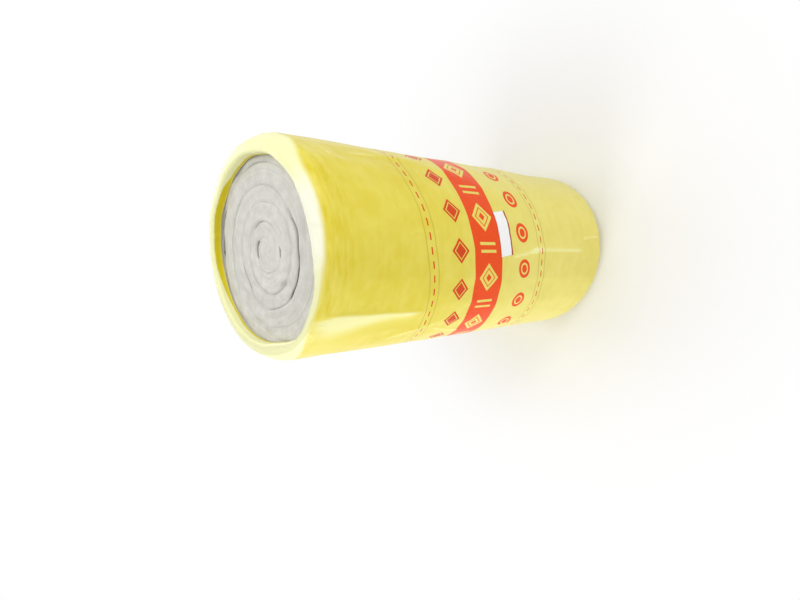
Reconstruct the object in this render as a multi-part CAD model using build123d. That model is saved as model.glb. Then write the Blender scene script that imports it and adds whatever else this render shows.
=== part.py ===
"""A roll of rock wool insulation in a film sleeve, standing on its end.

The blanket is wound tight and closed at its eye, and its inner turns are pushed
a little towards the base. The film runs round the outside. At the top it goes
over the rounded rim and in against the last turn, and at the base it goes over
a rounded shoulder onto the flat of the end. A paper label is stuck on the side.

Millimetres. Z runs up the roll's axis, and the origin is on the floor under it.
"""

import os
from math import cos, radians, sin

from build123d import *

# Wound blanket
blanket_width = 1200.0
wool_diameter = 543.0
turn_pitch = 47.0
outer_turn = 44.0
telescope = 28.0

# Line between the turns, as it shows on both ends
eye_radius = 12.5
turn_gap = 5.0
turn_gap_root = 1.5
turn_gap_depth = 9.0

# Rounded rim at the top, on the end of the last turn, and rounded shoulder at the base
lip_round = 11.0
shoulder_round = 40.0

# Film sleeve
film_thickness = 1.2
film_gap = 0.3
lip_gap = 8.0
base_ring = 45.5

# Paper label on the side that faces -Y
label_width = 54.0
label_length = 130.0
label_thickness = 0.4
label_gap = 0.1
label_corner = 2.0
label_below_top = 636.0
label_angle = 10.5
label_slant = 7.5

# Sizes that follow
wool_radius = wool_diameter / 2
film_radius = wool_radius + film_gap + film_thickness
step_radius = wool_radius - outer_turn
overall_height = blanket_width + telescope + 2 * (film_gap + film_thickness)
base_face = film_gap + film_thickness
top_face = base_face + blanket_width
top_rim = top_face + telescope
rim_round = outer_turn - lip_round
flat_radius = wool_radius - shoulder_round
opening_radius = flat_radius - base_ring

# Straight bevels in which the film folds over the lip and the shoulder
fold_bevels = 2


def bevelled(arc):
    """An arc in straight bevels, as film folds over an edge."""
    return Polyline([arc @ (k / fold_bevels) for k in range(fold_bevels + 1)])


def skin_line(out, start_height, end_radius):
    """Half section of the outside of the wool, moved outwards by out, from the step at the top to the base."""
    crest = step_radius + lip_round
    lip = CenterArc((crest, top_rim - lip_round), lip_round + out, 90, 90)
    rim = CenterArc((crest, top_rim - rim_round), rim_round + out, 0, 90)
    shoulder = CenterArc((flat_radius, base_face + shoulder_round), shoulder_round + out, 270, 90)
    step = Line((step_radius - out, start_height), lip @ 1)
    side = Line(rim @ 0, shoulder @ 1)
    ring = Line(shoulder @ 0, (end_radius, base_face - out))
    return [step, bevelled(lip), rim, side, bevelled(shoulder), ring]


def hidden_line(out, start_height, end_radius):
    """The same line where the film hides it, with its rim in bevels too."""
    step, lip, rim, *rest = skin_line(out, start_height, end_radius)
    return [step, lip, bevelled(rim), *rest]


def turned(section):
    """A half section, radius along X and height along Y, turned about the roll's axis."""
    return revolve(Plane.XZ * section, Axis.Z, 360)


def turn_line(height, width, reach):
    """The spiral line between the turns as a flat band across the roll, in half circles out to reach."""
    half_turns = int((reach - eye_radius) / (turn_pitch / 2))
    plane = Plane(origin=(0, 0, height), x_dir=(0, -1, 0), z_dir=(0, 0, 1))
    last_radius = eye_radius + half_turns * turn_pitch / 2
    last_side = -1 if half_turns % 2 else 1
    edges = [
        Line((eye_radius - width / 2, 0), (eye_radius + width / 2, 0)),
        Line((last_side * (last_radius - width / 2), 0), (last_side * (last_radius + width / 2), 0)),
    ]
    for k in range(half_turns):
        centre = turn_pitch / 4 * (1 if k % 2 else -1)
        radius = eye_radius + k * turn_pitch / 2 + turn_pitch / 4
        for edge in (-width / 2, width / 2):
            edges.append(CenterArc((centre, 0), radius + edge, 180 * (k % 2), 180))
    return plane * make_face(edges)


def turn_groove(face, inwards, reach):
    """A tapered groove along the line between the turns, cut into the end at face."""
    mouth = turn_line(face, turn_gap, reach)
    root = turn_line(face + inwards * turn_gap_depth, turn_gap_root, reach)
    return loft([mouth, root], ruled=True)


def wool_roll():
    middle = Polyline((0, base_face), (0, top_face), (step_radius, top_face))
    roll = turned(make_face(hidden_line(0, top_face, 0) + [middle]))
    return roll - turn_groove(top_face, -1, step_radius) - turn_groove(base_face, 1, opening_radius)


def film_wrap():
    lip_height = top_face + lip_gap
    inside = hidden_line(film_gap, lip_height, opening_radius)
    outside = skin_line(film_gap + film_thickness, lip_height, opening_radius)
    lip_edge = Line(inside[0] @ 0, outside[0] @ 0)
    opening_edge = Line(inside[-1] @ 1, outside[-1] @ 1)
    return turned(make_face(inside + outside + [lip_edge, opening_edge]))


def product_label():
    inner_radius = film_radius + label_gap
    outer_radius = inner_radius + label_thickness
    angle = radians(label_angle)
    place = Plane(
        origin=(0, 0, overall_height - label_below_top),
        x_dir=(cos(angle), sin(angle), 0),
        z_dir=(sin(angle), -cos(angle), 0),
    )
    cut = place * Rot(0, 0, label_slant) * RectangleRounded(label_length, label_width, label_corner)
    wall = Cylinder(outer_radius, overall_height) - Cylinder(inner_radius, overall_height)
    wall = Pos(0, 0, overall_height / 2) * wall
    return extrude(cut, amount=outer_radius + label_thickness) & wall


os.makedirs("parts", exist_ok=True)
for make in (wool_roll, film_wrap, product_label):
    export_step(make(), f"parts/{make.__name__}.step")
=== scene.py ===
"""The finish of a film-wrapped roll of rock wool insulation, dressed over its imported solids.

Metres. Z runs up the roll's axis. Angles round the roll are counted from the side that faces -Y, where
the label is, towards +X. Lengths along the roll are counted down from its top end.
"""

from math import cos, degrees, hypot, pi, radians, sin, tan

import bpy
import numpy as np
from bpy.props import FloatProperty, FloatVectorProperty, IntProperty, PointerProperty
from mathutils import Matrix, Vector


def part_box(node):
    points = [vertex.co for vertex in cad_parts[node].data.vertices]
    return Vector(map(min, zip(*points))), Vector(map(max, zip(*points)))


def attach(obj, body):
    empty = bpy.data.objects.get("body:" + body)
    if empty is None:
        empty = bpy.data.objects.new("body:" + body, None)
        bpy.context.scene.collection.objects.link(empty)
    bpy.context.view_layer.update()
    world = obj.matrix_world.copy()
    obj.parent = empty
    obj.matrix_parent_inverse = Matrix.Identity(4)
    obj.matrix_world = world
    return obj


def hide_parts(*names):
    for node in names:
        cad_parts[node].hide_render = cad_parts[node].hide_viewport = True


bl_info = {
    "name": "Insulation roll",
    "version": (1, 0, 0),
    "blender": (4, 5, 0),
    "location": "View3D > Sidebar > Insulation roll",
    "description": "Dresses a wound rock wool roll in printed film, with its turns, label and stage",
    "category": "Object",
}

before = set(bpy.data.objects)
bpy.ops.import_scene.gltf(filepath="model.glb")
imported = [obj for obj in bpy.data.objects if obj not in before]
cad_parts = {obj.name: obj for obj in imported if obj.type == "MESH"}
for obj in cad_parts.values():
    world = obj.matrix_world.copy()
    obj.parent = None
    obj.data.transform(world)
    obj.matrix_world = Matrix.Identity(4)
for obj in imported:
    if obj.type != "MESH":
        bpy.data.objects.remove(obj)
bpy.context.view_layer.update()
FILM_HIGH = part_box("film_wrap")[1]
WOOL_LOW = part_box("wool_roll")[0]
ROLL_HEIGHT = FILM_HIGH.z
ROLL_RADIUS = FILM_HIGH.x
GIRTH = 2 * pi * ROLL_RADIUS

# Stretches round the rim, each as the degrees over which it sets in and those over which it ends: where the
# rim is squeezed, and where a painted white highlight lies on it
SQUEEZED = ((-80, -45), (-25, 12))
WHITE_HIGHLIGHT = ((-22, 4), (24, 50))


def length(name, description, default):
    return FloatProperty(name=name, description=description, default=default, unit="LENGTH", precision=4)


def angle(name, description, default):
    return FloatProperty(name=name, description=description, default=radians(default), subtype="ANGLE")


def share(name, description, default):
    return FloatProperty(
        name=name, description=description, default=default, min=0, max=1, subtype="FACTOR"
    )


def colour(name, description, default):
    return FloatVectorProperty(
        name=name, description=description, default=default, min=0, max=1, subtype="COLOR"
    )


def count(name, description, default):
    return IntProperty(name=name, description=description, default=default, min=3)


class FilmSettings(bpy.types.PropertyGroup):
    wall: length("Wall", "Thickness of the film as it is drawn", 0.0006)
    lip_radius: length("Lip radius", "Inside of the film where it goes down inside the top rim", 0.226)
    lip_depth: length("Lip depth", "How far the film reaches down inside the top rim", 0.0262)
    lip_round: length("Lip rounding", "Rounding where the film turns in over the top rim", 0.007)
    lip_flare: length("Lip flare", "How far the cut edge of the film curls in", 0.0018)
    lip_wave: length("Lip wave", "Height of the waves along the cut edge", 0.0009)
    lip_draw: share("Lip draw", "How far the cut edge wavers inwards, as a share of its radius", 0.0020)
    crest_radius: length("Crest", "Radius at which the top rim is highest", 0.2395)
    fold_radius: length("Fold", "Radius of the fold between the end and the side", 0.257)
    fold_drop: length("Fold drop", "How far the fold lies below the crest", 0.0078)
    rim_drop: length("Rim drop", "Where the rim runs into the side, below the crest", 0.036)
    shoulder_round: length("Shoulder rounding", "Rounding where the film turns in at the base", 0.0415)
    opening_radius: length("Base opening", "Radius of the opening in the film at the base", 0.186)
    floor_gap: length("Floor gap", "Least height of the film over the floor", 0.0002)
    columns: count("Columns", "Columns of faces round the roll", 320)
    swell: length("Swell", "Height of the soft dents in the side", 0.0010)
    ridge: length("Ridges", "Height of the sharp ridges between the dents", 0.0011)
    pleat: length("Pleats", "Height of the pleats over the shoulder", 0.0022)
    tuck: length("Tucks", "Height of the small tucks over the rim", 0.0015)
    lap: length("Lap", "Step where the film laps over itself along the roll", 0.0009)
    lap_turn: angle("Lap turn", "Where round the roll the film laps over itself", 77)
    # The pale ring is partly the stretched film's paleness and mostly a painted highlight over the rim
    ring_inside: length("Ring inside", "How far the pale ring reaches down inside the rim", 0.0325)
    ring_tucked: length("Ring tucked", "How much farther it reaches where the lip is tucked in", 0.0125)
    ring_outside: length("Ring outside", "How far the pale ring reaches down the side", 0.0085)
    ring_spread: length("Ring spread", "How much farther it reaches away from the front", 0.030)
    ring_drawn: length("Ring drawn", "How much less it reaches where the rim is squeezed", 0.009)
    yellow: colour("Yellow", "Colour of the film", (0.655, 0.53, 0.026))
    # Pale yellow is partly the film's colour where it stands off the wool and partly a painted highlight
    # along crinkles and on the facet below the front
    pale: colour("Pale yellow", "Colour where the film stands off the wool", (0.80, 0.72, 0.165))
    # Painted highlight: this pale yellow is the ring over the rim, partly the stretched film's own paleness,
    # and it also paints the crease highlights and the paler far half of the side
    pale_highlight: colour("Rim yellow", "Colour where the film is stretched over the rim", (0.835, 0.83, 0.46))
    # Painted highlight: the white on the front of the rim
    white: colour("White", "Colour where the film is stretched white", (0.86, 0.86, 0.76))
    # Painted shade: the deeper yellow of the film inside the rim
    deep: colour("Deep yellow", "Colour of the film inside the rim", (0.66, 0.54, 0.018))
    roughness: share("Roughness", "Roughness of the film", 0.30)


class PrintSettings(bpy.types.PropertyGroup):
    band_along: length("Band", "Middle of the band, from the top end", 0.6184)
    band_width: length("Band width", "Width of the printed band", 0.122)
    band_drift: length("Band drift", "How far the skewed film carries the print up and down", 0.0784)
    band_turn: angle("Band turn", "Where round the roll the print crosses its mean", 50)
    badges: count("Badges", "Bare lozenges on the band, round the roll", 10)
    badge_turn: angle("Badge turn", "Where round the roll a badge is", 20)
    badge_half: length("Badge", "Half width of a badge", 0.0420)
    badge_ring: length("Badge ring", "Half width of the red ring in a badge", 0.0270)
    badge_line: length("Badge line", "Thickness of that ring, across the corner", 0.0048)
    badge_core: length("Badge core", "Half width of the red lozenge in a badge", 0.0125)
    bar_gap: length("Bar gap", "Between the middles of the two bare bars between badges", 0.0210)
    bar_width: length("Bar width", "Width of a bar", 0.0080)
    bar_length: length("Bar length", "Length of a bar", 0.068)
    marks: count("Marks", "Lozenges above the band and discs below it, round the roll", 16)
    mark_away: length("Mark place", "From the band up to the lozenges", 0.118)
    mark_half: length("Mark", "Half width of a lozenge", 0.0340)
    mark_ring: length("Mark ring", "Half width of the bare ring in a lozenge", 0.0230)
    mark_line: length("Mark line", "Thickness of that ring, across the corner", 0.0040)
    spot_away: length("Disc place", "From the band down to the discs", 0.172)
    spot_radius: length("Disc", "Radius of a disc", 0.0290)
    spot_ring: length("Disc ring", "Radius of the bare ring in a disc", 0.0155)
    spot_line: length("Disc line", "Thickness of that ring", 0.0056)
    border: length("Border", "From the middle of the print to the dashed borders above and below it", 0.245)
    border_shift: length("Border shift", "How far below the band the middle of the print lies", 0.020)
    dashes: count("Dashes", "Dashes in each border, round the roll", 48)
    dash_length: length("Dash length", "Length of a dash", 0.0190)
    dash_width: length("Dash width", "Width of a dash", 0.0048)
    rule_gap: length("Rule gap", "From the dashes to the thin rule on either side of them", 0.0165)
    rule_width: length("Rule width", "Width of a thin rule", 0.0038)
    red: colour("Red", "Colour of the band", (0.76, 0.060, 0.002))
    dark_red: colour("Dark red", "Colour of the small marks", (0.60, 0.045, 0.004))
    olive: colour("Olive", "Colour of the thin rules", (0.42, 0.33, 0.045))


class WoolSettings(bpy.types.PropertyGroup):
    pitch: length("Turn pitch", "Thickness of the blanket as wound", 0.047)
    eye: length("Eye", "Radius at which the first turn starts", 0.0125)
    step_radius: length("Step radius", "Inside of the last turn, which stands up as the rim", 0.2278)
    recess: length("Recess", "How far the inner turns lie below the rim", 0.0295)
    clearance: length("Clearance", "Gap left between the wool and the film", 0.0060)
    squeeze: share("Squeeze", "How much of the rim's thickness is lost where it is squeezed", 0.60)
    wobble: length("Wobble", "How far the line between two turns wavers", 0.0014)
    stagger: length("Stagger", "How far a turn stands out or lies back at the ends", 0.0020)
    rim_sag: length("Rim sag", "How far the wool sags at the foot of the rim", 0.0010)
    parted_sag: length("Parted sag", "How much farther it sags at the back of the roll", 0.0036)
    crease_width: length("Crease width", "Half width of the line between two turns", 0.0032)
    crease_depth: length("Crease depth", "Depth of the line between two turns where it gapes", 0.0110)
    crown: length("Crown", "How far each turn bulges at the ends", 0.0012)
    lump: length("Lumps", "Height of the lumps on the ends", 0.0010)
    columns: count("Columns", "Columns of faces round the roll", 384)
    grey: colour("Grey", "Colour of the wool", (0.61, 0.597, 0.54))
    light: colour("Light grey", "Colour of the loose fibre", (0.83, 0.815, 0.765))
    # Painted shade: the near-black in the gaps between the turns
    dark: colour("Dark", "Colour deep between the turns", (0.085, 0.075, 0.055))


class LabelSettings(bpy.types.PropertyGroup):
    width: length("Width", "Size of the label along the roll", 0.054)
    span: length("Length", "Size of the label round the roll", 0.130)
    along: length("Along", "Middle of the label, from the top end", 0.636)
    turn: angle("Turn", "Middle of the label round the roll", 10.5)
    slant: angle("Slant", "How far the label is turned on the film", 7.5)
    lift: length("Lift", "Gap between the label and the film", 0.0007)
    wall: length("Wall", "Thickness of the paper as it is drawn", 0.0004)
    curl: length("Curl", "How far the corners curl up", 0.0009)
    ripple: length("Ripple", "Height of the ripples in the paper", 0.0002)
    edge: length("Red edge", "Width of the red edge", 0.0060)
    paper: colour("Paper", "Colour of the paper", (0.83, 0.83, 0.82))
    edge_red: colour("Edge red", "Colour of the red edge", (0.36, 0.022, 0.016))


class StageSettings(bpy.types.PropertyGroup):
    focal_px: FloatProperty(name="Focal length", description="In pixels of the picture", default=563.37)
    picture_width: count("Picture width", "In pixels", 800)
    picture_height: count("Picture height", "In pixels", 600)
    axis_px: count("Axis column", "Where the lens axis meets the picture", 440)
    axis_py: count("Axis row", "Where the lens axis meets the picture", 360)
    above_top: length("Above the top", "Height of the camera over the top end", 0.7011)
    stand_off: length("Stand off", "Distance of the camera from the axis, towards -Y", 1.2716)
    side_step: length("Side step", "Distance of the camera from the axis, towards +X", -0.0021)
    heading: angle("Heading", "Turn of the view from straight down towards +Y", 43.281)
    dip: angle("Dip", "Turn of the view towards -X", 10.884)
    floor_size: length("Floor", "Width of the floor", 60.0)
    floor_grey: share("Floor grey", "Brightness of the floor", 0.88)
    shadow_near: length("Shadow", "Distance from the axis within which the floor keeps its shadow", 0.36)
    shadow_far: length("Shadow end", "Distance from the axis at which the floor is plain white", 1.1)
    sky: FloatProperty(name="Sky", description="Strength of the light from all round", default=0.28)


class Value:
    """A value in a shader tree. Operators on it add Math nodes."""

    def __init__(self, finish, socket):
        self.finish = finish
        self.socket = socket

    def math(self, operation, *others):
        inputs = dict(enumerate((self, *others)))
        return self.finish.node("ShaderNodeMath", {"operation": operation}, inputs)

    def __add__(self, other):
        return self.math("ADD", other)

    __radd__ = __add__

    def __mul__(self, other):
        return self.math("MULTIPLY", other)

    __rmul__ = __mul__

    def __sub__(self, other):
        return self.math("SUBTRACT", other)

    def __rsub__(self, other):
        return self * -1 + other

    def __truediv__(self, other):
        return self.math("DIVIDE", other)

    def __abs__(self):
        return self.math("ABSOLUTE")

    def __or__(self, other):
        """The greater of two values, which joins two masks."""
        return self.math("MAXIMUM", other)

    def wrapped(self, pitch, centre=0.0):
        """The value folded into one pitch of a pattern, zero at the pattern's centre."""
        return (self - centre).math("WRAP", -pitch / 2, pitch / 2)

    def ease(self, low, high):
        """0 below low, 1 above high, smooth between."""
        inputs = {"Value": self, "From Min": low, "From Max": high}
        return self.finish.node("ShaderNodeMapRange", {"interpolation_type": "SMOOTHSTEP"}, inputs)

    def within(self, rise, fall):
        """1 between two slopes, each from one value to another, and 0 outside them."""
        return self.ease(*rise) * (1 - self.ease(*fall))


class Finish:
    """A material and its shader tree."""

    def __init__(self, name):
        self.material = bpy.data.materials.new(name)
        self.material.use_nodes = True
        self.tree = self.material.node_tree
        self.tree.nodes.clear()

    def node(self, kind, settings, inputs, output=0):
        """A node of one kind, with its settings, then its sockets' values or links. Gives one output."""
        node = self.tree.nodes.new(kind)
        for key, value in settings.items():
            setattr(node, key, value)
        for key, value in inputs.items():
            if isinstance(value, Value):
                self.tree.links.new(value.socket, node.inputs[key])
            elif node.inputs[key].type == "RGBA":
                node.inputs[key].default_value = (*value, 1)
            else:
                node.inputs[key].default_value = value
        return Value(self, node.outputs[output]) if node.outputs else None

    def split(self, vector):
        return [self.node("ShaderNodeSeparateXYZ", {}, {0: vector}, k) for k in range(3)]

    def join(self, x, y, z=0.0):
        return self.node("ShaderNodeCombineXYZ", {}, {0: x, 1: y, 2: z})

    def flat(self, uv_map):
        """The two coordinates of a UV map."""
        return self.split(self.node("ShaderNodeUVMap", {"uv_map": uv_map}, {}))[:2]

    def place(self):
        return self.node("ShaderNodeTexCoord", {}, {}, "Object")

    def attribute(self, name):
        return self.node("ShaderNodeAttribute", {"attribute_name": name}, {}, "Fac")

    def noise(self, vector, scale, detail=4.0, rough=0.5, distortion=0.0):
        inputs = {
            "Vector": vector,
            "Scale": scale,
            "Detail": detail,
            "Roughness": rough,
            "Distortion": distortion,
        }
        return self.node("ShaderNodeTexNoise", {}, inputs)

    def blend(self, factor, first, second):
        return self.node("ShaderNodeMix", {"data_type": "RGBA"}, {0: factor, 6: first, 7: second}, 2)

    def bump(self, height, distance, strength):
        inputs = {"Height": height, "Distance": distance, "Strength": strength}
        return self.node("ShaderNodeBump", {}, inputs)

    def surface(self, **inputs):
        sockets = {key.replace("_", " "): value for key, value in inputs.items()}
        self.output(self.node("ShaderNodeBsdfPrincipled", {}, sockets))

    def output(self, shader):
        self.node("ShaderNodeOutputMaterial", {}, {"Surface": shader})


def inside(distance, soft=0.0007):
    """A print mask from a signed distance: 1 within the shape, 0 outside it."""
    return 1 - distance.ease(-soft, soft)


def disc(across, down, radius):
    return (across * across + down * down).math("SQRT") - radius


def bar(across, down, half_across, half_down):
    return (abs(across) - half_across) | (abs(down) - half_down)


def lozenge(across, down, half):
    return abs(across) + abs(down) - half


def print_masks(around, along, layout):
    """Masks of the red, the dark red and the olive print, in metres round and along the roll."""
    drift = (around / ROLL_RADIUS + layout.band_turn).math("SINE") * layout.band_drift
    down = along - layout.band_along + drift
    band = inside(abs(down) - layout.band_width / 2)

    badge_pitch = GIRTH / layout.badges
    badge_start = layout.badge_turn * ROLL_RADIUS
    badge = around.wrapped(badge_pitch, badge_start)
    between = around.wrapped(badge_pitch, badge_start + badge_pitch / 2)
    badge_ring = inside(abs(lozenge(badge, down, layout.badge_ring)) - layout.badge_line / 2)
    badge_core = inside(lozenge(badge, down, layout.badge_core))
    badge_bare = inside(lozenge(badge, down, layout.badge_half)) * (1 - (badge_ring | badge_core))
    bars = bar(abs(between) - layout.bar_gap / 2, down, layout.bar_width / 2, layout.bar_length / 2)
    red = band * (1 - (badge_bare | inside(bars)))

    mark_pitch = GIRTH / layout.marks
    mark = around.wrapped(mark_pitch)
    above = down + layout.mark_away
    mark_ring = inside(abs(lozenge(mark, above, layout.mark_ring)) - layout.mark_line / 2)
    dark = inside(lozenge(mark, above, layout.mark_half)) * (1 - mark_ring)

    spot = around.wrapped(mark_pitch, mark_pitch / 2)
    below = down - layout.spot_away
    spot_ring = inside(abs(disc(spot, below, layout.spot_ring)) - layout.spot_line / 2)
    red = red | inside(disc(spot, below, layout.spot_radius)) * (1 - spot_ring)

    edge = abs(down - layout.border_shift) - layout.border
    dash = around.wrapped(GIRTH / layout.dashes)
    dark = dark | inside(bar(dash, edge, layout.dash_length / 2, layout.dash_width / 2))
    olive = inside(abs(abs(edge) - layout.rule_gap) - layout.rule_width / 2)
    return red, dark, olive


def rim_tint(finish, film, tint, place, drawn, slack_and_highlight):
    """Deep yellow inside the rim as painted shade, and a pale ring over it that is partly the stretched
    film's own paleness and mostly a painted highlight, with painted highlights along the cut edge and in
    white at the front.
    """
    around, along = place
    turn = around * (360 / GIRTH)
    past_back = turn.wrapped(360, 175)
    tucked = (1 - past_back.ease(-52, -36)) | past_back.ease(10, 50)
    inner = -film.ring_inside - tucked * film.ring_tucked
    outer = film.ring_outside + abs(turn).ease(40, 72) * film.ring_spread
    outer = outer - turn.within(*SQUEEZED) * film.ring_drawn - (drawn - 0.5) * 0.012
    ring = (along - inner).ease(-0.0015, 0.0015) * (1 - (along - outer).ease(-0.005, 0.013))
    ring = ring * (1 - slack_and_highlight.ease(0.62, 1.0) * 0.6)
    hem = 1 - along.ease(-0.0500, -0.0480)
    # Painted shade: the film inside the rim is painted a deeper yellow
    tint = finish.blend(1 - along.ease(-0.030, -0.024), tint, tuple(film.deep))
    # Painted highlight: the pale ring over the rim, partly the stretched film's own paleness, and half of it
    # along the cut edge
    tint = finish.blend(ring | hem * 0.5, tint, tuple(film.pale_highlight))
    # Painted highlight: the ring turns white towards the front
    return finish.blend(ring * turn.within(*WHITE_HIGHLIGHT) * 0.75, tint, tuple(film.white))


def print_tint(finish, layout, tint, place, flat):
    """The print, a little worn, over the film's own tint."""
    red, dark, olive = print_masks(*place, layout)
    worn = finish.noise(flat, 260, 3, 0.6).ease(0.25, 0.55) * 0.08 + 0.92
    tint = finish.blend(olive * worn * 0.55, tint, tuple(layout.olive))
    tint = finish.blend(red * worn, tint, tuple(layout.red))
    return finish.blend(dark * worn, tint, tuple(layout.dark_red))


def film_finish(film, layout):
    finish = Finish("printed_film")
    place = finish.flat("film_flat")
    around, along = place
    flat = finish.join(around, along)
    broad = finish.noise(flat, 5.0, 3, 0.55)
    streak = finish.noise(finish.join(around * 0.30, along * 2.4), 22, 3, 0.6)
    cockle = finish.noise(flat, 24, 2, 0.5, 0.4)
    wrinkle = finish.noise(finish.join(around, along * 0.55), 7.5, 3, 0.55, 0.3)
    creased = (1 - abs(wrinkle - 0.5).ease(0.0, 0.030)) * broad.ease(0.44, 0.60)
    slack_and_highlight = finish.attribute("slack_and_highlight")
    drawn = finish.noise(finish.join(around * 0.20, along), 70, 3, 0.6)
    near_rim = 1 - along.ease(0.02, 0.13)

    loose = (broad * 0.5 + cockle * 0.3 + streak * 0.2).ease(0.34, 0.66) * 0.40 + 0.17
    loose = loose + (drawn - 0.5) * near_rim * 1.8
    # Pale yellow where the film stands off the wool, with painted highlights along the crinkle lines and on
    # the facet below the front; the mottling is the film's own tone
    tint = finish.blend(loose | creased * 0.40 | slack_and_highlight, tuple(film.yellow), tuple(film.pale))
    # Painted light: the side is painted paler towards its far end
    tint = finish.blend(along.ease(0.30, 0.80) * 0.22, tint, tuple(film.pale_highlight))
    # Painted highlight along the cores of the creases and over the facet below the front
    tint = finish.blend(slack_and_highlight.ease(0.60, 1.0) * 0.70, tint, tuple(film.pale_highlight))
    tint = rim_tint(finish, film, tint, place, drawn, slack_and_highlight)
    tint = print_tint(finish, layout, tint, place, flat)

    height = cockle * 0.60 + streak * 0.14 + drawn * near_rim * 0.50 + creased * 0.22
    finish.surface(
        Base_Color=tint,
        Roughness=broad * 0.14 + (film.roughness - 0.07),
        Normal=finish.bump(height, 0.0034, 0.75),
        IOR=1.5,
        Specular_IOR_Level=0.12,
        Coat_Weight=0.03,
        Coat_Roughness=0.12,
    )
    return finish.material


def wool_finish(wool):
    finish = Finish("rock_wool")
    place = finish.place()
    x, y, z = finish.split(place)
    radius = (x * x + y * y).math("SQRT")
    turn = x.math("ARCTAN2", y * -1)
    spiral = (radius - wool.eye) / wool.pitch - turn / (2 * pi)
    index = spiral.math("FLOOR")
    through = spiral - index
    wound = (index * (2 * pi) + turn) * wool.pitch
    blanket = finish.join(wound * 1.2, through, z * 4)
    layers = finish.noise(blanket, 13, 5, 0.62, 0.3)
    fibres = finish.noise(place, 230, 6, 0.78, 1.6)
    clumps = finish.noise(place, 38, 4, 0.6)
    loose = (layers * 0.45 + clumps * 0.55).ease(0.22, 0.78)
    shade = tuple(c * 0.70 for c in wool.grey)
    tint = finish.blend(loose, tuple(wool.grey), tuple(wool.light))
    tint = finish.blend(fibres.ease(0.50, 0.72) * 0.40, tint, shade)

    gape = finish.attribute("gape") * (clumps * 0.8 + 0.6)
    off_line = abs(finish.attribute("turn_sine")) + (fibres - 0.5) * 0.10
    line = 1 - (off_line / (gape * 0.60 + 0.022)).ease(0.45, 1.20)
    line = line * finish.attribute("turn_cosine").ease(0.0, 0.4)
    # Painted shade in the gaps between the turns, darkest where they gape widest
    tint = finish.blend(line * (gape * 1.25).ease(0.0, 1.0), tint, tuple(wool.dark))
    height = layers * 0.5 + fibres * 0.80 + clumps * 0.5 - line * 0.5
    finish.surface(
        Base_Color=tint,
        Roughness=0.95,
        Normal=finish.bump(height, 0.0032, 0.85),
        Specular_IOR_Level=0.12,
        Sheen_Weight=0.15,
        Sheen_Roughness=0.6,
    )
    return finish.material


def label_finish(label):
    finish = Finish("label_paper")
    across, down = finish.flat("label_flat")
    grain = finish.noise(finish.join(across, down), 700, 3, 0.6)
    shade = tuple(c * 0.86 for c in label.paper)
    tint = finish.blend(grain.ease(0.3, 0.7) * 0.10, tuple(label.paper), shade)
    edge = (down - label.width / 2 + label.edge).ease(-0.0004, 0.0004)
    tint = finish.blend(edge, tint, tuple(label.edge_red))
    finish.surface(
        Base_Color=tint,
        Roughness=grain * 0.1 + 0.42,
        Normal=finish.bump(grain, 0.0002, 0.5),
        Coat_Weight=0.1,
        Coat_Roughness=0.3,
    )
    return finish.material


def waves(seed, number, turns, runs):
    """Random soft waves round and along the roll: whole turns round it, and cycles a metre along it."""
    draw = np.random.default_rng(seed)
    turns = draw.integers(turns[0], turns[1] + 1, number) * draw.choice([-1, 1], number)
    runs = draw.uniform(runs[0], runs[1], number) * 2 * pi
    phases = draw.uniform(0, 2 * pi, number)

    def height(theta, along):
        total = np.zeros_like(theta)
        for turn, run, phase in zip(turns, runs, phases):
            total += np.cos(turn * theta + run * along + phase)
        return total / np.sqrt(number / 2)

    return height


def ease(value, low, high):
    t = np.clip((value - low) / (high - low), 0, 1)
    return t * t * (3 - 2 * t)


def within(value, rise, fall):
    """1 between two slopes, each from one value to another, and 0 outside them."""
    return ease(value, *rise) * (1 - ease(value, *fall))


def folds(seed, number, width, lean):
    """Sharp folds that run along the roll at uneven places round it."""
    draw = np.random.default_rng(seed)
    places = (np.arange(number) + draw.uniform(-0.38, 0.38, number)) * 2 * pi / number - pi
    widths = width * draw.uniform(0.6, 1.5, number) / ROLL_RADIUS
    heights = draw.uniform(0.35, 1.0, number)
    leans = draw.normal(0, lean, number)

    def height(theta, along):
        total = np.zeros_like(theta)
        for place, wide, high, slope in zip(places, widths, heights, leans):
            gap = (theta - place - slope * along + pi) % (2 * pi) - pi
            total += high * np.exp(-np.abs(gap) / wide)
        return total - heights.mean() * 0.5

    return height


def crease(theta, along, start, end, above, below):
    """A ridge on the film from one (degrees, metres along) to another, with a width each side of it."""
    a = np.array([radians(start[0]) * ROLL_RADIUS, start[1]])
    b = np.array([radians(end[0]) * ROLL_RADIUS, end[1]])
    line = b - a
    point = np.stack([theta * ROLL_RADIUS, along], axis=-1) - a
    t = (point @ line) / (line @ line)
    off = (point[..., 0] * line[1] - point[..., 1] * line[0]) / hypot(*line)
    fade = ease(t, 0, 0.25) * ease(1 - t, 0, 0.25)
    return fade * np.exp(-np.abs(off) / np.where(off > 0, above, below))


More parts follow.
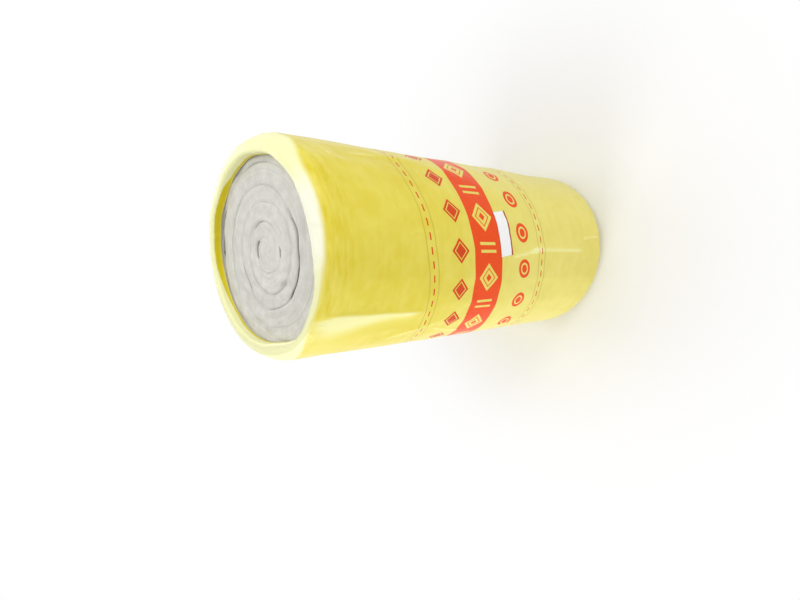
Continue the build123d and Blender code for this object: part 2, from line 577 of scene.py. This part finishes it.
# Creases in the side and over the rim, each from one (degrees, metres along) to another, with its
# height and its width on the side of greater and of smaller degrees
SIDE_CREASES = [
    ((-5, 0.64), (1, 0.84), 0.0034, 0.014, 0.007),
    ((0.5, 0.74), (0, 1.13), 0.0036, 0.016, 0.007),
    ((8.5, 1.06), (11, 1.22), 0.0030, 0.008, 0.005),
    ((-31.5, -0.03), (-35.5, 0.40), 0.0048, 0.006, 0.045),
    ((61, 0.100), (47, 0.118), 0.0024, 0.006, 0.006),
    ((67, -0.003), (28, -0.019), 0.0028, 0.004, 0.006),
    ((56.3, 0.15), (58.8, 0.28), 0.0030, 0.006, 0.006),
    ((58.3, 0.27), (61.4, 0.47), 0.0030, 0.006, 0.006),
    ((-58, 0.26), (-44, 0.47), 0.0034, 0.005, 0.008),
    ((-50, 0.40), (-62, 0.62), 0.0030, 0.008, 0.005),
    ((-64, 0.70), (-52, 0.98), 0.0030, 0.006, 0.006),
    ((118, 0.22), (126, 0.66), 0.0030, 0.006, 0.012),
    ((150, 0.55), (141, 1.02), 0.0032, 0.012, 0.006),
    ((-120, 0.18), (-131, 0.58), 0.0030, 0.006, 0.012),
    ((-150, 0.62), (-146, 1.10), 0.0032, 0.006, 0.006),
    ((-104, 0.75), (-96, 1.05), 0.0026, 0.006, 0.012),
]


# The facet below the front, where a painted highlight lies on the film standing off the wool: the degrees to
# its upper edge, and how many degrees a metre that leans
FACET_EDGE = 31.5
FACET_LEAN = 10


def film_slack_and_highlight(theta, along):
    """How far the creases lift the film off the wool, from 0 to 1, with a painted highlight added on the
    facet below the front; it also sets the painted highlights on the creases.
    """
    total = np.zeros_like(theta)
    for start, end, height, *widths in SIDE_CREASES:
        total += crease(theta, along, start, end, *widths)
    below = -np.degrees(theta) - FACET_EDGE - FACET_LEAN * along
    # Painted highlight: the facet term changes only the colour, not the shape
    facet = within(below, (0, 5), (30, 55)) * (1 - ease(along, 0.02, 0.32))
    return np.minimum(total + 0.56 * facet, 1)


def film_relief(film):
    """How far the film stands out from its smooth shape, by angle and by length along its own surface."""
    dents = waves(11, 26, (2, 9), (0.4, 2.6))
    cockles = waves(12, 34, (8, 30), (1.5, 6.0))
    pleats = folds(13, 74, 0.0065, 0.25)
    tucks = folds(14, 58, 0.0055, 0.6)
    wrinkles = waves(18, 18, (4, 13), (0.3, 2.6))
    lap_drift = waves(16, 8, (0, 0), (0.5, 4.0))

    def relief(theta, along):
        side = ease(along, 0.02, 0.12) * ease(ROLL_HEIGHT - along, 0.0, 0.10)
        out = film.swell * dents(theta, along) * (0.12 + 0.88 * side)
        out += 0.22 * film.swell * cockles(theta, along) * (0.35 + 0.65 * side)
        base = ease(along, ROLL_HEIGHT - 0.16, ROLL_HEIGHT - 0.01)
        out += film.pleat * pleats(theta, along - ROLL_HEIGHT) * base
        top = ease(0.11 - along, 0.0, 0.12)
        out += film.tuck * tucks(theta, along) * top
        ridges = 0.55 - np.abs(wrinkles(theta, along))
        out += film.ridge * ridges * side
        for start, end, height, *widths in SIDE_CREASES:
            out += height * crease(theta, along, start, end, *widths)
        past_lap = np.degrees(theta - film.lap_turn) + 0.6 * lap_drift(theta, along)
        out += film.lap * within(past_lap, (-0.5, 0.5), (4, 30))
        return np.maximum(out, -2.2 * film.swell)

    return relief


# Degrees between the stations on a rounding
ARC_STEP = 9


def rounded_section(corners):
    """Stations through the corners of a half section.

    A corner is a radius, a height, the rounding there and the spacing of the stations on the way to it.
    """
    places = [Vector(corner[:2]) for corner in corners]
    stations = [places[0]]
    for k in range(1, len(corners)):
        rounding, spacing = corners[k][2:]
        start = places[k]
        if rounding:
            back = (places[k - 1] - places[k]).normalized()
            ahead = (places[k + 1] - places[k]).normalized()
            half = back.angle(ahead) / 2
            start = places[k] + back * rounding / tan(half)
            end = places[k] + ahead * rounding / tan(half)
            centre = places[k] + (back + ahead).normalized() * rounding / sin(half)
        last = stations[-1]
        steps = max(1, round((start - last).length / spacing))
        stations += [last.lerp(start, (n + 1) / steps) for n in range(steps)]
        if rounding:
            steps = max(2, round((180 - degrees(2 * half)) / ARC_STEP))
            out = (start - centre).normalized()
            turned = [out.slerp((end - centre).normalized(), (n + 1) / steps) for n in range(steps)]
            stations += [centre + rounding * way for way in turned]
    return stations


def turned_piece(name, section, columns):
    """Extrudes a half section from one vertex, station by station, and spins it about the roll's axis."""
    spots = [Vector((0, -radius, height)) for radius, height in section]
    bpy.ops.object.select_all(action="DESELECT")
    bpy.ops.mesh.primitive_plane_add(size=0.01, location=(0, 0, 0))
    piece = bpy.context.active_object
    piece.name = name
    piece.data.name = name
    bpy.ops.object.mode_set(mode="EDIT")
    bpy.ops.mesh.select_mode(type="VERT")
    bpy.ops.mesh.select_all(action="SELECT")
    bpy.ops.mesh.merge(type="CENTER")
    bpy.ops.transform.translate(value=spots[0])
    for here, there in zip(spots, spots[1:]):
        bpy.ops.mesh.extrude_region_move(TRANSFORM_OT_translate={"value": there - here})
    bpy.ops.mesh.select_all(action="SELECT")
    bpy.ops.mesh.spin(steps=columns, angle=2 * pi, center=(0, 0, 0), axis=(0, 0, 1))
    bpy.ops.mesh.select_all(action="SELECT")
    bpy.ops.mesh.remove_doubles(threshold=1e-6)
    bpy.ops.mesh.normals_make_consistent(inside=False)
    bpy.ops.object.mode_set(mode="OBJECT")
    return piece


def apply_modifier(piece, kind, **settings):
    modifier = piece.modifiers.new(kind.title(), kind)
    for key, value in settings.items():
        setattr(modifier, key, value)
    bpy.context.view_layer.objects.active = piece
    bpy.ops.object.modifier_apply(modifier=modifier.name)


def vertex_places(piece):
    places = np.empty(len(piece.data.vertices) * 3, np.float32)
    piece.data.vertices.foreach_get("co", places)
    return places.reshape(-1, 3).astype(float)


def vertex_normals(piece):
    normals = np.empty(len(piece.data.vertices) * 3, np.float32)
    piece.data.vertex_normals.foreach_get("vector", normals)
    return normals.reshape(-1, 3).astype(float)


def move_vertices(piece, places):
    piece.data.vertices.foreach_set("co", places.astype(np.float32).ravel())
    piece.data.update()


def keep_value(piece, name, values):
    """Stores one number a vertex, for the piece's material."""
    layer = piece.data.attributes.new(name, "FLOAT", "POINT")
    layer.data.foreach_set("value", values.astype(np.float32))


def set_flat_map(piece, name, pairs):
    """Writes a UV map from one pair of numbers a vertex, and keeps the faces at the back seam whole."""
    loops = np.empty(len(piece.data.loops), np.int32)
    piece.data.loops.foreach_get("vertex_index", loops)
    corners = pairs[loops]
    starts = np.empty(len(piece.data.polygons), np.int32)
    piece.data.polygons.foreach_get("loop_start", starts)
    face = np.searchsorted(starts, np.arange(len(loops)), side="right") - 1
    highest = np.full(len(starts), -np.inf)
    np.maximum.at(highest, face, corners[:, 0])
    across_seam = highest[face] - corners[:, 0] > GIRTH / 2
    corners[across_seam, 0] += GIRTH
    layer = piece.data.uv_layers.new(name=name)
    layer.data.foreach_set("uv", corners.astype(np.float32).ravel())


# How far down the squeeze of the rim reaches, where it is full, and the radius from which turns are drawn out
SQUEEZE_DEPTH = 0.16
SQUEEZE_FULL = 0.05
DRAWN_RADIUS = 0.165


def squeeze_rim(wool, places):
    """Thins the last turn at the front of the top end and draws the turns inside it out to it."""
    turn = np.degrees(np.arctan2(places[:, 0], -places[:, 1]))
    radius = np.maximum(np.hypot(places[:, 0], places[:, 1]), 1e-6)
    thin = wool.squeeze * within(turn, *SQUEEZED)
    thin *= ease(places[:, 2], ROLL_HEIGHT - SQUEEZE_DEPTH, ROLL_HEIGHT - SQUEEZE_FULL)
    drawn = (ROLL_RADIUS - wool.step_radius) * ease(radius, DRAWN_RADIUS, wool.step_radius)
    pressed = np.maximum(ROLL_RADIUS - radius, 0)
    out = thin * np.where(radius < wool.step_radius, drawn, pressed)
    places[:, :2] *= (1 + out / radius)[:, None]


# Roundings of the film's rim, and the spacing of the stations on the film's lip, rim, side and base
CREST_ROUND = 0.020
FOLD_ROUND = 0.009
RIM_ROUND = 0.045
LIP_SPACING = 0.003
RIM_SPACING = 0.004
SIDE_SPACING = 0.0120
BASE_SPACING = 0.005


def film_section(film):
    """The film from its lip inside the top rim, over the rim, down the side and in under the base."""
    return rounded_section(
        [
            (film.lip_radius - film.lip_flare, ROLL_HEIGHT - film.lip_depth, 0, 0),
            (film.lip_radius, ROLL_HEIGHT - 0.7 * film.lip_depth, 0, LIP_SPACING),
            (film.lip_radius, ROLL_HEIGHT, film.lip_round, RIM_SPACING),
            (film.crest_radius, ROLL_HEIGHT, CREST_ROUND, RIM_SPACING),
            (film.fold_radius, ROLL_HEIGHT - film.fold_drop, FOLD_ROUND, RIM_SPACING),
            (ROLL_RADIUS, ROLL_HEIGHT - film.rim_drop, RIM_ROUND, RIM_SPACING),
            (ROLL_RADIUS, 0, film.shoulder_round, SIDE_SPACING),
            (film.opening_radius, 0, 0, BASE_SPACING),
        ]
    )


def film_lengths(film):
    """The film's section and the length along it at each station: on the side, the depth below the top."""
    section = np.array([tuple(station) for station in film_section(film)])
    steps = np.hypot(*np.diff(section, axis=0).T)
    lengths = np.concatenate([[0], np.cumsum(steps)])
    side = np.argmax(section[:, 0] > ROLL_RADIUS - 1e-5)
    return section, lengths - lengths[side] + ROLL_HEIGHT - section[side, 1]


class ROLL_OT_wrap_film(bpy.types.Operator):
    """Turns the film sleeve, creases it and prints it"""

    bl_idname = "roll.wrap_film"
    bl_label = "Wrap film"

    def execute(self, context):
        film = context.scene.roll_film
        sleeve = turned_piece("film_sleeve", film_section(film), film.columns)
        places = vertex_places(sleeve)
        theta = np.arctan2(places[:, 0], -places[:, 1])
        radius = np.hypot(places[:, 0], places[:, 1])
        section, lengths = film_lengths(film)
        away = np.hypot(section[None, :, 0] - radius[:, None], section[None, :, 1] - places[:, 2:3])
        along = lengths[np.argmin(away, axis=1)]
        set_flat_map(sleeve, "film_flat", np.stack([theta * ROLL_RADIUS, along], axis=1))

        # The value also sets the painted highlights on the creases and the facet
        keep_value(sleeve, "slack_and_highlight", film_slack_and_highlight(theta, along))
        places += vertex_normals(sleeve) * film_relief(film)(theta, along)[:, None]
        lip = ease(-along, -0.022, 0.004)
        places[:, 2] += film.lip_wave * lip * waves(15, 18, (2, 15), (0, 0))(theta, along)
        inward = np.maximum(waves(17, 16, (2, 13), (0, 0))(theta, along), -1) + 1
        places[:, :2] *= 1 - film.lip_draw * (lip * inward)[:, None]
        places[:, 2] = np.maximum(places[:, 2], film.floor_gap)
        squeeze_rim(context.scene.roll_wool, places)
        move_vertices(sleeve, places)

        sleeve.data.materials.clear()
        sleeve.data.materials.append(film_finish(film, context.scene.roll_print))
        apply_modifier(sleeve, "SOLIDIFY", thickness=film.wall, offset=-1)
        bpy.ops.object.shade_smooth()
        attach(sleeve, "root")
        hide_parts("film_wrap")
        return {"FINISHED"}


# How wide the line between two turns gapes at the least
LEAST_GAPE = 0.10

# Stretches where two turns gape, as degrees wound from the eye, half the stretch and how wide it gapes
GAPES = [
    (175, 38, 1.0),
    (356, 15, 0.65),
    (474, 24, 0.30),
    (660, 26, 0.24),
    (932, 30, 0.36),
    (1012, 34, 0.35),
    (1058, 40, 0.80),
    (1092, 36, 1.0),
    (1250, 60, 0.22),
    (1536, 18, 0.26),
    (1608, 22, 1.0),
]

# How far the line between the turns strays from an even spiral, in metres, by degrees wound from the eye
STRAYS = [
    (0, 0.0),
    (147, 0.0105),
    (177, 0.0090),
    (203, 0.0065),
    (340, 0.0075),
    (372, -0.0040),
    (474, -0.0020),
    (560, 0.0),
    (644, 0.0130),
    (680, 0.0055),
    (780, 0.0),
    (930, -0.0080),
    (990, 0.0030),
    (1061, -0.0095),
    (1112, -0.0215),
    (1160, -0.0100),
    (1300, 0.0),
    (1530, -0.0050),
    (1620, 0.0),
]


# Roundings of the wool's rim, the step of the wool at the edge of the film under the base, and the spacing
# of the stations on the top end, the base end and under the film
WOOL_EDGE_ROUND = 0.004
WOOL_FOLD_ROUND = 0.006
WOOL_RIM_ROUND = 0.02
BASE_STEP = 0.004
TOP_END_SPACING = 0.0023
BASE_END_SPACING = 0.0042
UNDER_SPACING = 0.006


def wool_section(wool, film):
    """The wool from the middle of its top face over the rim, down under the film and in under the base."""
    top = ROLL_HEIGHT - wool.recess
    under = ROLL_HEIGHT - wool.clearance
    outside = ROLL_RADIUS - wool.clearance
    fold_radius = film.fold_radius - wool.clearance / 2
    return rounded_section(
        [
            (0, top, 0, 0),
            (wool.step_radius, top, 0, TOP_END_SPACING),
            (wool.step_radius, under, WOOL_EDGE_ROUND, UNDER_SPACING),
            (film.crest_radius, under, WOOL_EDGE_ROUND, UNDER_SPACING),
            (fold_radius, under - film.fold_drop, WOOL_FOLD_ROUND, UNDER_SPACING),
            (outside, ROLL_HEIGHT - film.rim_drop - wool.clearance, WOOL_RIM_ROUND, 0.01),
            (outside, wool.clearance, film.shoulder_round, 0.3),
            (film.opening_radius + BASE_STEP, wool.clearance, 0, 0.02),
            (film.opening_radius - BASE_STEP, WOOL_LOW.z, 0, 0.005),
            (0, WOOL_LOW.z, 0, BASE_END_SPACING),
        ]
    )


class ROLL_OT_wind_wool(bpy.types.Operator):
    """Turns the wound wool and opens the line between its turns on both ends"""

    bl_idname = "roll.wind_wool"
    bl_label = "Wind wool"

    def execute(self, context):
        wool = context.scene.roll_wool
        film = context.scene.roll_film
        blanket = turned_piece("wool_blanket", wool_section(wool, film), wool.columns)
        places = vertex_places(blanket)
        theta = np.arctan2(places[:, 0], -places[:, 1])
        radius = np.hypot(places[:, 0], places[:, 1])
        on_top = (radius < wool.step_radius - 1e-4) & (places[:, 2] > ROLL_HEIGHT / 2)
        on_base = (radius < film.opening_radius - 0.003) & (places[:, 2] < ROLL_HEIGHT / 2)

        wobble = wool.wobble * waves(21, 14, (2, 9), (2, 9))(theta, radius)
        index, through, gap = self.find_turns(wool, theta, radius + wobble)
        nearest = np.where(through < 0.5, index, index + 1)
        wound = np.degrees(nearest * 2 * pi + theta)
        gape = self.gape_at(wound)
        groove = gape * np.exp(-((gap / wool.crease_width) ** 2))

        lumps = waves(22, 40, (1, 16), (4, 30))(theta, radius) * ease(radius, 0, 0.04)
        turned = index * 2 * pi + theta
        shift = wool.stagger * np.sin(0.37 * turned + 1.3 * np.sin(0.61 * turned))
        crown = wool.crown * (0.6 - np.abs(2 * through - 1) ** 3)
        calm = ease(radius, 0.03, 0.11)
        high = wool.lump * lumps * (0.3 + 0.7 * calm) + (shift + crown) * calm * ease(gap, 0, 0.006)
        high -= wool.crease_depth * groove
        parted = ease(np.cos(theta - radians(180)), 0.90, 0.98)
        sag = wool.rim_sag + wool.parted_sag * parted
        high -= sag * ease(radius, wool.step_radius - 0.010, wool.step_radius)
        low = np.minimum(high, 0.0008)
        places[:, 2] += np.where(on_top, high, np.where(on_base, -low, 0))
        squeeze_rim(wool, places)
        move_vertices(blanket, places)

        ends = on_top | on_base
        keep_value(blanket, "gape", np.where(ends, gape, 0))
        keep_value(blanket, "turn_sine", np.where(ends, np.sin(2 * pi * through), 1))
        keep_value(blanket, "turn_cosine", np.where(ends, np.cos(2 * pi * through), -1))
        blanket.data.materials.clear()
        blanket.data.materials.append(wool_finish(wool))
        bpy.context.view_layer.objects.active = blanket
        bpy.ops.object.shade_smooth()
        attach(blanket, "root")
        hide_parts("wool_roll")
        return {"FINISHED"}

    def gape_at(self, wound):
        """How far the line between two turns gapes, from 0 to 1, by degrees wound from the eye."""
        gape = np.full_like(wound, LEAST_GAPE)
        for middle, reach, depth in GAPES:
            gape = np.maximum(gape, depth * ease(1 - np.abs(wound - middle) / reach, 0, 0.5))
        return gape * ease(wound, 20, 100)

    def find_turns(self, wool, theta, radius):
        """Which turn each point is in, how far through it and how far from the nearer line beside it."""
        strays = np.array(STRAYS).T
        lines = [np.full_like(radius, -wool.pitch)]
        for turn in range(6):
            even = wool.eye + wool.pitch * (turn + theta / (2 * pi))
            lines.append(even + np.interp(360 * turn + np.degrees(theta), *strays))
        lines = np.stack(lines)
        below = np.clip((radius >= lines).sum(axis=0) - 1, 0, len(lines) - 2)
        columns = np.arange(len(radius))
        inner = lines[below, columns]
        outer = lines[below + 1, columns]
        through = np.clip((radius - inner) / (outer - inner), 0, 1)
        return below - 1.0, through, np.minimum(np.abs(radius - inner), np.abs(outer - radius))


class ROLL_OT_stick_label(bpy.types.Operator):
    """Lays the paper label on the film, over its dents"""

    bl_idname = "roll.stick_label"
    bl_label = "Stick label"

    def execute(self, context):
        label = context.scene.roll_label
        bpy.ops.object.select_all(action="DESELECT")
        bpy.ops.mesh.primitive_grid_add(x_subdivisions=52, y_subdivisions=22, size=1)
        paper = context.active_object
        paper.name = "paper_label"
        paper.data.name = "paper_label"
        spots = vertex_places(paper)
        across = spots[:, 0] * label.span
        down = -spots[:, 1] * label.width
        set_flat_map(paper, "label_flat", np.stack([across, down], axis=1))

        around = across * cos(label.slant) + down * sin(label.slant)
        along = label.along - across * sin(label.slant) + down * cos(label.slant)
        theta = label.turn + around / ROLL_RADIUS
        to_corner = np.hypot(across / label.span * 2, down / label.width * 2)
        curl = label.curl * ease(to_corner, 1.15, 1.42)
        radius = ROLL_RADIUS + film_relief(context.scene.roll_film)(theta, along) + label.lift + curl
        radius += label.ripple * waves(31, 12, (20, 90), (10, 40))(theta, along)
        places = np.stack([radius * np.sin(theta), -radius * np.cos(theta), ROLL_HEIGHT - along], axis=1)
        move_vertices(paper, places)
        paper.data.materials.append(label_finish(label))
        apply_modifier(paper, "SOLIDIFY", thickness=label.wall, offset=1)
        bpy.ops.object.shade_smooth_by_angle(angle=radians(40))
        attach(paper, "root")
        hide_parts("product_label")
        return {"FINISHED"}


def stage_finish(stage):
    """A white floor that keeps the shadow near the roll and melts into the white round it."""
    finish = Finish("stage_floor")
    x, y, _ = finish.split(finish.place())
    away = (x * x + y * y).math("SQRT").ease(stage.shadow_near, stage.shadow_far)
    camera, glossy, through = (
        finish.node("ShaderNodeLightPath", {}, {}, ray)
        for ray in ("Is Camera Ray", "Is Glossy Ray", "Is Transmission Ray")
    )
    matt = finish.node("ShaderNodeBsdfDiffuse", {}, {"Color": (stage.floor_grey,) * 3})
    white = finish.node("ShaderNodeEmission", {}, {"Color": (1, 1, 1), "Strength": 1.0})
    seen = camera | glossy | through
    finish.output(finish.node("ShaderNodeMixShader", {}, {0: away * seen, 1: matt, 2: white}))
    return finish.material


def stage_world(sky):
    """Even light from all round, and plain white where a camera or a reflection sees it."""
    world = bpy.data.worlds.new("stage_light")
    world.use_nodes = True
    nodes = world.node_tree.nodes
    links = world.node_tree.links
    rays = nodes.new("ShaderNodeLightPath")
    level = None
    for ray in ("Is Camera Ray", "Is Glossy Ray", "Is Transmission Ray"):
        seen = nodes.new("ShaderNodeMath")
        seen.operation = "MAXIMUM"
        links.new(rays.outputs[ray], seen.inputs[0])
        if level:
            links.new(level, seen.inputs[1])
        level = seen.outputs[0]
    strength = nodes.new("ShaderNodeMapRange")
    strength.inputs["To Min"].default_value = sky
    strength.inputs["To Max"].default_value = 1.0
    links.new(level, strength.inputs["Value"])
    links.new(strength.outputs["Result"], nodes["Background"].inputs["Strength"])
    nodes["Background"].inputs["Color"].default_value = (1, 1, 1, 1)
    return world


# Soft boxes: name, place, what each is turned to, width and brightness
SOFT_BOXES = [
    ("top_box", (0.7, -0.1, 2.6), (0, 0, 1.2), 1.2, 2.35),
    ("key_box", (2.9, -2.4, 1.9), (0, 0, 0.6), 1.4, 5.0),
    ("side_box", (-3.2, 0.2, 1.0), (0, 0, 0.6), 1.4, 9.5),
    ("front_box", (-0.4, -3.6, 1.4), (0, 0, 0.45), 3.0, 0.85),
    ("back_box", (0.6, 3.4, 2.0), (0, 0, 0.6), 2.0, 2.0),
]


def soft_box(name, place, target, width, brightness):
    bpy.ops.object.light_add(type="AREA", location=place)
    lamp = bpy.context.active_object
    lamp.name = name
    lamp.data.shape = "SQUARE"
    lamp.data.size = width
    lamp.data.energy = brightness * pi * width**2
    lamp.rotation_euler = (Vector(target) - Vector(place)).to_track_quat("-Z", "Y").to_euler()


class ROLL_OT_set_stage(bpy.types.Operator):
    """Sets the floor, the lamps and the camera"""

    bl_idname = "roll.set_stage"
    bl_label = "Set stage"

    def execute(self, context):
        stage = context.scene.roll_stage
        bpy.ops.object.select_all(action="DESELECT")
        bpy.ops.mesh.primitive_plane_add(size=stage.floor_size, location=(0, 0, 0))
        floor = context.active_object
        floor.name = "stage_floor"
        floor.data.materials.append(stage_finish(stage))
        for box in SOFT_BOXES:
            soft_box(*box)
        context.scene.world = stage_world(stage.sky)
        context.scene.view_settings.view_transform = "Standard"
        self.set_camera(context, stage)
        return {"FINISHED"}

    def set_camera(self, context, stage):
        """The camera looks down past the top end, turned so that +X is the top of the picture."""
        ahead = Vector(
            (
                -sin(stage.dip),
                sin(stage.heading) * cos(stage.dip),
                -cos(stage.heading) * cos(stage.dip),
            )
        )
        right = ahead.cross(Vector((1, 0, 0))).normalized()
        up = right.cross(ahead)
        place = Vector((stage.side_step, -stage.stand_off, ROLL_HEIGHT + stage.above_top))
        bpy.ops.object.camera_add(location=place)
        camera = context.active_object
        camera.name = "photo_camera"
        turn = Matrix((right, up, -ahead)).transposed().to_4x4()
        camera.matrix_world = Matrix.Translation(place) @ turn
        lens = camera.data
        lens.sensor_width = 36
        lens.lens = stage.focal_px * lens.sensor_width / stage.picture_width
        lens.shift_x = (stage.picture_width / 2 - stage.axis_px) / stage.picture_width
        lens.shift_y = (stage.axis_py - stage.picture_height / 2) / stage.picture_width
        lens.clip_end = 200
        context.scene.camera = camera


class ROLL_PT_sidebar(bpy.types.Panel):
    """Lists the roll's pieces and their settings"""

    bl_idname = "ROLL_PT_sidebar"
    bl_label = "Insulation roll"
    bl_space_type = "VIEW_3D"
    bl_region_type = "UI"
    bl_category = "Insulation roll"

    def draw(self, context):
        for settings, operators in PANEL_ROWS:
            box = self.layout.box()
            group = getattr(context.scene, settings)
            for key in group.bl_rna.properties.keys():
                if key not in ("rna_type", "name"):
                    box.prop(group, key)
            for operator in operators:
                box.operator(operator)


PANEL_ROWS = [
    ("roll_wool", ["roll.wind_wool"]),
    ("roll_film", ["roll.wrap_film"]),
    ("roll_print", []),
    ("roll_label", ["roll.stick_label"]),
    ("roll_stage", ["roll.set_stage"]),
]

SETTINGS = {
    "roll_film": FilmSettings,
    "roll_print": PrintSettings,
    "roll_wool": WoolSettings,
    "roll_label": LabelSettings,
    "roll_stage": StageSettings,
}

CLASSES = [
    *SETTINGS.values(),
    ROLL_OT_wind_wool,
    ROLL_OT_wrap_film,
    ROLL_OT_stick_label,
    ROLL_OT_set_stage,
    ROLL_PT_sidebar,
]


def register():
    for cls in CLASSES:
        bpy.utils.register_class(cls)
    for name, group in SETTINGS.items():
        setattr(bpy.types.Scene, name, PointerProperty(type=group))


def unregister():
    for name in SETTINGS:
        delattr(bpy.types.Scene, name)
    for cls in reversed(CLASSES):
        bpy.utils.unregister_class(cls)


def main():
    register()
    bpy.ops.roll.wind_wool()
    bpy.ops.roll.wrap_film()
    bpy.ops.roll.stick_label()
    bpy.ops.roll.set_stage()


if __name__ == "__main__":
    main()
